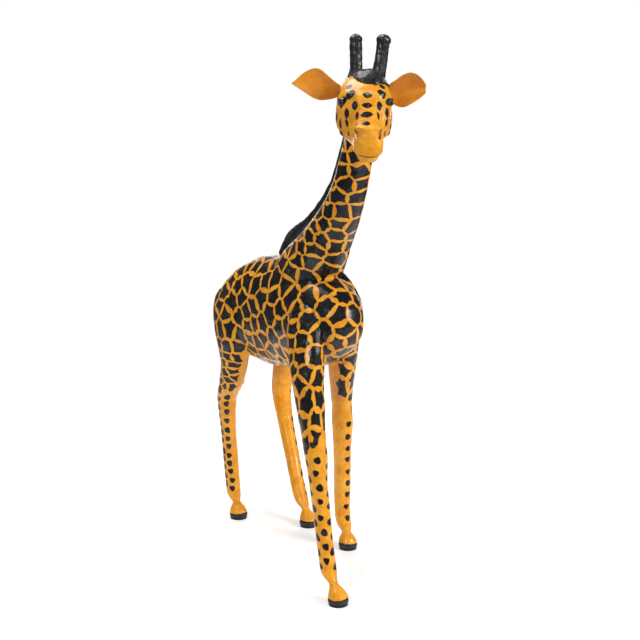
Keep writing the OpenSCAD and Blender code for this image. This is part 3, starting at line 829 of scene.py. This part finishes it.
def tail():
    """The leather round the tail's wire, and the tuft of strands at its end."""
    middles, widths = slices_of("tail_wrap", 30, 1.5 * MM)
    step = middles[1] - middles[0]
    path = np.concatenate([[middles[0] - step], middles, [2 * middles[-1] - middles[-2]]])
    verts, faces = tube(path, np.median(widths) * 0.95, 16)
    verts, faces, _ = evened(verts, faces, 1.3 * MM, 2)
    inside = 3.2 - 6 * np.abs(noise(verts, 13 * MM, 95) + 0.1)
    placed("tail_leather", verts, faces, "patterned_leather", "tail_wrap",
           attributes={"patch": inside, "ink": np.full(len(verts), OUTSIDE)})
    middles, widths = slices_of("tail_tuft", 8, 1.5 * MM)
    rng = np.random.default_rng(5)
    top, bottom = middles[-1] + (0, 0, 5 * MM), middles[0]
    shapes = []
    strands = 44
    for k in range(strands):
        turn, out = 2.4 * k, math.sqrt((k + 0.5) / strands)
        fan = np.array([math.cos(turn), math.sin(turn), 0]) * out
        t = np.linspace(0, 1, 12)
        belly = np.interp(t, np.linspace(0, 1, len(widths)), widths[::-1]) * 0.85
        reach = 1 - 0.18 * rng.random()
        line = top + np.outer(t * reach, bottom - top) + np.outer(belly, fan)
        line += 0.8 * MM * np.stack([np.sin(5 * t + turn), np.cos(4 * t + turn), 0 * t], 1)
        shapes.append(tube(line, 1.25 * MM * (1 - 0.85 * t ** 2), 6))
    verts, faces = together(shapes)
    placed("tail_tuft_strands", verts, faces, "black_leather", "tail_tuft")


# ---- Materials ----------------------------------------------------------------------------------

def node(tree, kind, inputs=None, **settings):
    made = tree.nodes.new(kind)
    for key, value in settings.items():
        setattr(made, key, value)
    for key, value in (inputs or {}).items():
        if isinstance(value, bpy.types.NodeSocket):
            tree.links.new(value, made.inputs[key])
        else:
            made.inputs[key].default_value = value
    return made


def blank(name):
    material = bpy.data.materials.new(name)
    material.use_nodes = True
    tree = material.node_tree
    return material, tree, tree.nodes["Principled BSDF"]


def rgb(r, g, b):
    return (r, g, b, 1.0)


def mix(tree, factor, low, high):
    """A colour between two colours."""
    made = node(tree, "ShaderNodeMix", data_type="RGBA")
    for socket, value in ((made.inputs[0], factor), (made.inputs[6], low), (made.inputs[7], high)):
        if isinstance(value, bpy.types.NodeSocket):
            tree.links.new(value, socket)
        else:
            socket.default_value = value
    return made.outputs[2]


def step_of(tree, value, low, high, to_low=0.0, to_high=1.0):
    """A smooth change from to_low to to_high as value goes from low to high."""
    made = node(tree, "ShaderNodeMapRange", {"Value": value, "From Min": low, "From Max": high,
                                             "To Min": to_low, "To Max": to_high},
                interpolation_type="SMOOTHSTEP")
    return made.outputs[0]


def maths(tree, operation, a, b):
    return node(tree, "ShaderNodeMath", {0: a, 1: b}, operation=operation).outputs[0]


def grain(tree, scale, detail=4.0, roughness=0.55, distortion=0.0):
    """Noise over the object's own space, with about scale features in each metre."""
    where = node(tree, "ShaderNodeTexCoord").outputs["Object"]
    made = node(tree, "ShaderNodeTexNoise", {"Vector": where, "Scale": scale, "Detail": detail,
                                             "Roughness": roughness, "Distortion": distortion})
    return made.outputs["Fac"]


def pebbles(tree, scale):
    """Small rounded cells, the grain of leather."""
    where = node(tree, "ShaderNodeTexCoord").outputs["Object"]
    return node(tree, "ShaderNodeTexVoronoi", {"Vector": where, "Scale": scale}).outputs["Distance"]


def attribute(tree, name):
    return node(tree, "ShaderNodeAttribute", attribute_name=name).outputs["Fac"]


def bumped(tree, shader, layers):
    """Bump layers of (height socket, depth in metres), one over the other."""
    normal = None
    for height, depth in layers:
        made = node(tree, "ShaderNodeBump", {"Height": height, "Distance": depth, "Strength": 1.0})
        if normal is not None:
            tree.links.new(normal, made.inputs["Normal"])
        normal = made.outputs["Normal"]
    tree.links.new(normal, shader.inputs["Normal"])


ORANGE = rgb(0.78, 0.345, 0.018)
ORANGE_DEEP = rgb(0.68, 0.250, 0.008)
ORANGE_PALE = rgb(0.84, 0.400, 0.045)
BURNT = rgb(0.13, 0.035, 0.008)
BLACK = rgb(0.003, 0.003, 0.0035)
# Grey on the black leather where it is worn, which also serves as a painted sheen of the varnish on lit
# patches
BLACK_WORN_AND_SHEEN = rgb(0.075, 0.075, 0.080)


def varied_roughness(tree, shader, scale, detail, low, high):
    """Roughness that wanders between low and high."""
    tree.links.new(step_of(tree, grain(tree, scale, detail), 0.3, 0.7, low, high), shader.inputs["Roughness"])


def patterned_leather():
    """Varnished orange leather with sunken black patches, each with a ragged, burnt edge."""
    material, tree, shader = blank("patterned_leather")
    patch, ink = attribute(tree, "patch"), attribute(tree, "ink")
    ragged = maths(tree, "ADD", patch, step_of(tree, grain(tree, 420, 3), 0.3, 0.7, -0.45, 0.45))
    black = step_of(tree, ragged, -0.25, 0.25)
    orange = mix(tree, step_of(tree, grain(tree, 38, 5, 0.6), 0.38, 0.66), ORANGE, ORANGE_DEEP)
    orange = mix(tree, step_of(tree, grain(tree, 110, 4, 0.6), 0.50, 0.72, 0.0, 0.75), orange, ORANGE_PALE)
    orange = mix(tree, step_of(tree, ragged, -0.95, -0.1, 0.0, 0.85), orange, BURNT)
    orange = mix(tree, step_of(tree, ink, -0.5, 0.5), orange, BURNT)
    # The black patches turn grey in noisy places: partly wear, partly a painted sheen that stands for the
    # varnish's gloss where the patches catch the light
    wear_and_sheen = maths(tree, "MULTIPLY", step_of(tree, grain(tree, 55, 6, 0.7), 0.50, 0.74),
                 step_of(tree, grain(tree, 11, 2), 0.47, 0.60, 0.06, 1.0))
    dark = mix(tree, wear_and_sheen, BLACK, BLACK_WORN_AND_SHEEN)
    tree.links.new(mix(tree, black, orange, dark), shader.inputs["Base Color"])
    varied_roughness(tree, shader, 70, 4, 0.30, 0.46)
    shader.inputs["Specular IOR Level"].default_value = 0.15
    tree.links.new(step_of(tree, grain(tree, 14, 3), 0.38, 0.62, 0.10, 0.55), shader.inputs["Coat Weight"])
    shader.inputs["Coat Roughness"].default_value = 0.13
    # The black patches are crumpled, the orange between them less so
    share = step_of(tree, patch, -2.0, 2.0, 0.35, 1.0)
    crumple = maths(tree, "MULTIPLY", grain(tree, 48, 3, 0.5, 1.2), share)
    bumped(tree, shader, [(crumple, 0.0050), (grain(tree, 130, 5, 0.6, 0.6), 0.0014),
                          (pebbles(tree, 900), 0.00015),
                          (step_of(tree, ragged, -1.2, 1.0), -0.0004)])
    return material


def plain_leather(name, light, deep, rough_low, rough_high, coat, crease):
    """Smooth leather: its two shades, its range of roughness, its varnish and the depth of its creases."""
    material, tree, shader = blank(name)
    colour = mix(tree, step_of(tree, grain(tree, 42, 5, 0.62), 0.36, 0.66), light, deep)
    colour = mix(tree, step_of(tree, attribute(tree, "rim"), 0.35, 0.75), colour, BURNT)
    tree.links.new(colour, shader.inputs["Base Color"])
    varied_roughness(tree, shader, 80, 4, rough_low, rough_high)
    shader.inputs["Specular IOR Level"].default_value = 0.3
    shader.inputs["Coat Weight"].default_value = coat
    shader.inputs["Coat Roughness"].default_value = 0.14
    bumped(tree, shader, [(grain(tree, 130, 6, 0.62, 0.8), crease), (pebbles(tree, 950), 0.00015)])
    return material


def wood(name, light, deep):
    """Bare wood with upright grain."""
    material, tree, shader = blank(name)
    where = node(tree, "ShaderNodeTexCoord").outputs["Object"]
    drawn_out = node(tree, "ShaderNodeMapping", {"Vector": where, "Scale": (1.0, 1.0, 0.12)}).outputs[0]
    fine = node(tree, "ShaderNodeTexNoise", {"Vector": drawn_out, "Scale": 260.0, "Detail": 6.0})
    rings = fine.outputs["Fac"]
    tree.links.new(mix(tree, step_of(tree, rings, 0.35, 0.65), light, deep), shader.inputs["Base Color"])
    tree.links.new(step_of(tree, rings, 0.3, 0.7, 0.55, 0.75), shader.inputs["Roughness"])
    bumped(tree, shader, [(rings, 0.0004)])
    return material


def glossy(name, colour, roughness, coat, metallic=0.0, specks=0.0006):
    """A hard surface with a faint unevenness."""
    material, tree, shader = blank(name)
    deeper = rgb(*(0.7 * c for c in colour[:3]))
    shade = mix(tree, step_of(tree, grain(tree, 60, 4), 0.35, 0.65), colour, deeper)
    tree.links.new(shade, shader.inputs["Base Color"])
    varied_roughness(tree, shader, 90, 3, roughness, roughness * 1.5)
    shader.inputs["Metallic"].default_value = metallic
    shader.inputs["Coat Weight"].default_value = coat
    shader.inputs["Coat Roughness"].default_value = 0.04
    bumped(tree, shader, [(grain(tree, 70, 3), specks)])
    return material


MATERIALS = {
    "patterned_leather": patterned_leather(),
    "ear_leather": plain_leather("ear_leather", rgb(0.68, 0.255, 0.014), rgb(0.60, 0.200, 0.010),
                                 0.40, 0.52, 0.10, 0.0005),
    "black_leather": plain_leather("black_leather", rgb(0.006, 0.006, 0.007), rgb(0.018, 0.018, 0.020),
                                   0.26, 0.44, 0.35, 0.0016),
    "hoof_paint": glossy("hoof_paint", rgb(0.010, 0.010, 0.011), 0.42, 0.0, specks=0.0016),
    "sole_rubber": glossy("sole_rubber", rgb(0.018, 0.018, 0.018), 0.75, 0.0),
    "eye_glass": glossy("eye_glass", rgb(0.006, 0.006, 0.007), 0.04, 1.0, specks=0.0),
    "wire_steel": glossy("wire_steel", rgb(0.56, 0.56, 0.56), 0.32, 0.0, metallic=1.0),
    "core_wood": wood("core_wood", rgb(0.55, 0.36, 0.19), rgb(0.40, 0.24, 0.11)),
    "dowel_wood": wood("dowel_wood", rgb(0.66, 0.48, 0.28), rgb(0.52, 0.34, 0.17)),
}


# ---- Building -----------------------------------------------------------------------------------

def dress(obj, slot):
    obj.data.materials.clear()
    obj.data.materials.append(MATERIALS[slot])


def build_hides():
    """The skin sculpted, painted, made a little uneven and cut into the hides of the parts."""
    verts, faces, edges, away = core_skin()
    head, head_faces = picked(faces, away["head"] < 10 * MM)
    shaped = sculpted_head(verts[head], head_faces)
    blend = smoothstep(8, 3, away["head"][head] / MM)[:, None]
    verts[head] = verts[head] * (1 - blend) + shaped * blend
    nearest, patch, ink = painted_skin(verts, faces, away)
    normals = normals_of(verts, faces)
    rise = (0.7 * noise(verts, 46 * MM, 61) + 0.30 * noise(verts, 17 * MM, 62)
            + 0.22 * noise(verts, 7 * MM, 63) * smoothstep(-1, 1, patch)
            - 0.35 * smoothstep(-1.5, 1.5, patch) - 1.8 * seams(verts, away))
    verts = verts + normals * rise[:, None] * MM
    verts[:, 2] = np.maximum(verts[:, 2], SKIN_FOOT)
    normals = spread(normals_of(verts, faces), edges, 1)
    normals /= np.linalg.norm(normals, axis=1)[:, None]
    own = {part: [] for part in PARTS}
    for f in faces:
        votes = np.bincount(nearest[list(f)], minlength=len(PARTS))
        own[PARTS[int(votes.argmax())]].append(tuple(f))
    for part in PARTS:
        hide_piece(part, verts, normals, own[part], {"patch": patch, "ink": ink})


build_hides()
head_core()
horns()
cap()
eyes()
hooves()
ears()
mane()
tail()

SLOTS = {part["node"]: part["material_slot"] for part in frame["record"]["subparts"]}
for name, obj in NODES.items():
    dress(obj, SLOTS[name])


# ---- Floor, light and camera --------------------------------------------------------------------

FLOOR_RADIUS = 1.7
# The floor glows a little, so that it is as white as the background
FLOOR_GREY, FLOOR_GLOW = 0.75, 0.32
# The background is white to the camera, and much dimmer in what it lights, so that black leather stays dark
BACKGROUND_LIT, BACKGROUND_SEEN = 0.16, 1.0
# Name, place, width in metres and power in watts of each lamp, all turned to the statue's middle
LAMPS = (
    ("key", (1.9, -3.0, 2.3), 1.4, 132),
    ("left", (-3.0, -1.6, 2.2), 1.1, 46),
    ("top", (-0.3, 0.9, 3.1), 1.8, 66),
    ("back", (1.9, 3.3, 1.3), 2.4, 60),
)
LAMP_TARGET = (0, 0, 0.7)
# The photographer's place: 2.7 m off, as high as the head, turned 29 degrees and looking down by 11.5
CAMERA_PLACE = (-1.2604, -2.3474, 1.121)
CAMERA_TURN, CAMERA_DOWN = -29, 11.5
LENS, SENSOR = 64.69, 36

turns = np.linspace(0, 2 * math.pi, 128, endpoint=False)
rim = [(FLOOR_RADIUS * math.cos(a), FLOOR_RADIUS * math.sin(a), 0) for a in turns]
floor = new_object("floor", rim, [tuple(range(len(rim)))], smooth=False)
floor_material, _, floor_shader = blank("floor_pale")
floor_shader.inputs["Base Color"].default_value = rgb(FLOOR_GREY, FLOOR_GREY, FLOOR_GREY)
floor_shader.inputs["Emission Color"].default_value = rgb(1.0, 1.0, 1.0)
floor_shader.inputs["Emission Strength"].default_value = FLOOR_GLOW
floor_shader.inputs["Roughness"].default_value = 0.8
floor.data.materials.append(floor_material)

world = bpy.data.worlds.new("studio")
world.use_nodes = True
background = world.node_tree.nodes["Background"]
background.inputs["Color"].default_value = rgb(1.0, 1.0, 1.0)
seen = node(world.node_tree, "ShaderNodeLightPath").outputs["Is Camera Ray"]
strength = step_of(world.node_tree, seen, 0.0, 1.0, BACKGROUND_LIT, BACKGROUND_SEEN)
world.node_tree.links.new(strength, background.inputs["Strength"])
bpy.context.scene.world = world

for name, place, size, power in LAMPS:
    light = bpy.data.lights.new(name, "AREA")
    light.size = size
    light.energy = power
    lamp = bpy.data.objects.new(name, light)
    lamp.location = place
    lamp.rotation_euler = (Vector(LAMP_TARGET) - lamp.location).to_track_quat("-Z", "Y").to_euler()
    lamp.visible_camera = False
    bpy.context.scene.collection.objects.link(lamp)

camera = bpy.data.objects.new("camera", bpy.data.cameras.new("camera"))
bpy.context.scene.collection.objects.link(camera)
camera.location = CAMERA_PLACE
camera.rotation_euler = (math.radians(90 - CAMERA_DOWN), 0, math.radians(CAMERA_TURN))
camera.data.lens = LENS
camera.data.sensor_width = SENSOR
bpy.context.scene.camera = camera
bpy.context.scene.view_settings.view_transform = "Standard"
